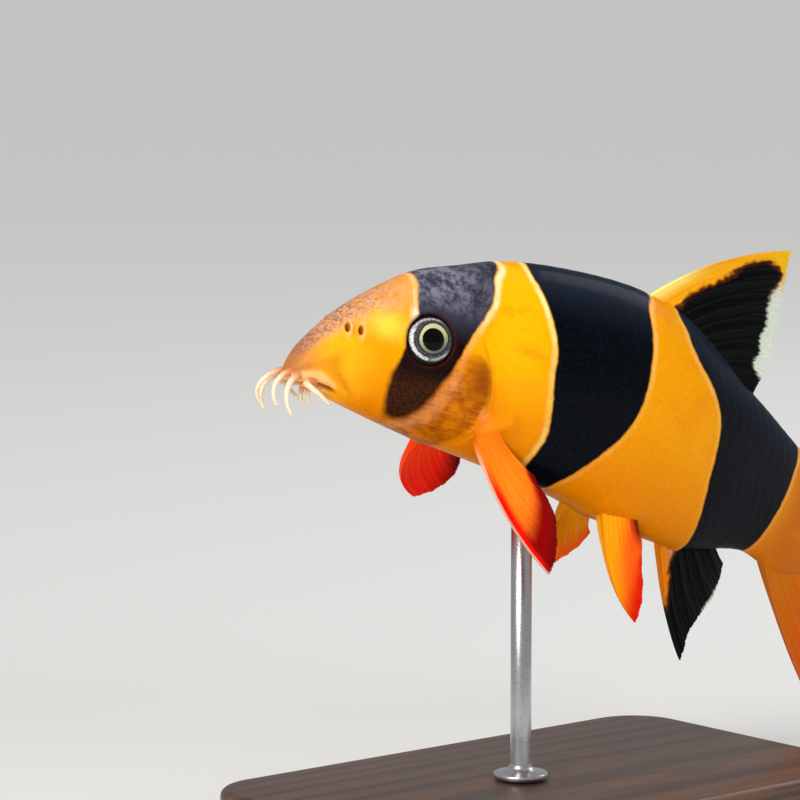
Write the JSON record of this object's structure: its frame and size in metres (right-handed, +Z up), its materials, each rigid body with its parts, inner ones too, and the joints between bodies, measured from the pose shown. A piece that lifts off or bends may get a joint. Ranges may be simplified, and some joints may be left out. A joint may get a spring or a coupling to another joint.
{
  "type": "clown loach model",
  "caption": "Life-size still model of a clown loach, golden orange with blue-black bands, forked tail and barbels, held over a flat base by one short rod.",
  "frame": {"origin": "centre of the flat underside of the stand's base", "axes": "+Z up; +X from the fish's head to its tail, along the line from the snout to the root of the tail fin; -Y is the side that the fish's left flank faces"},
  "size_m": [0.151, 0.056, 0.0879],
  "materials": {
    "fish_skin": "satin skin, wet sheen, golden orange with three blue-black bands",
    "eye": "clear gloss over a silver and gold iris and a black pupil",
    "barbel": "satin, pale cream",
    "dark_fin": "satin, blue-black between fin rays, orange front edge",
    "orange_fin": "satin, orange, clear between fin rays",
    "red_fin": "satin, orange to deep red",
    "stand_wood": "dark oiled wood, softened edges",
    "stand_metal": "brushed"
  },
  "bodies": {
    "root": {"head": "fish_skin", "torso": "fish_skin", "tail_stalk": "fish_skin", "eye_left": "eye", "eye_right": "eye", "dorsal_fin": "dark_fin", "anal_fin": "dark_fin", "tail_fin_upper": "orange_fin", "tail_fin_lower": "orange_fin", "pectoral_fin_left": "red_fin", "pectoral_fin_right": "red_fin", "pelvic_fin_left": "red_fin", "pelvic_fin_right": "red_fin", "stand_base": "stand_wood", "stand_rod": "stand_metal", "barbel_rostral_inner_left": "barbel", "barbel_rostral_inner_right": "barbel", "barbel_rostral_outer_left": "barbel", "barbel_rostral_outer_right": "barbel", "barbel_maxillary_left": "barbel", "barbel_maxillary_right": "barbel", "barbel_mandibular_left": "barbel", "barbel_mandibular_right": "barbel"}
  },
  "joints": []
}
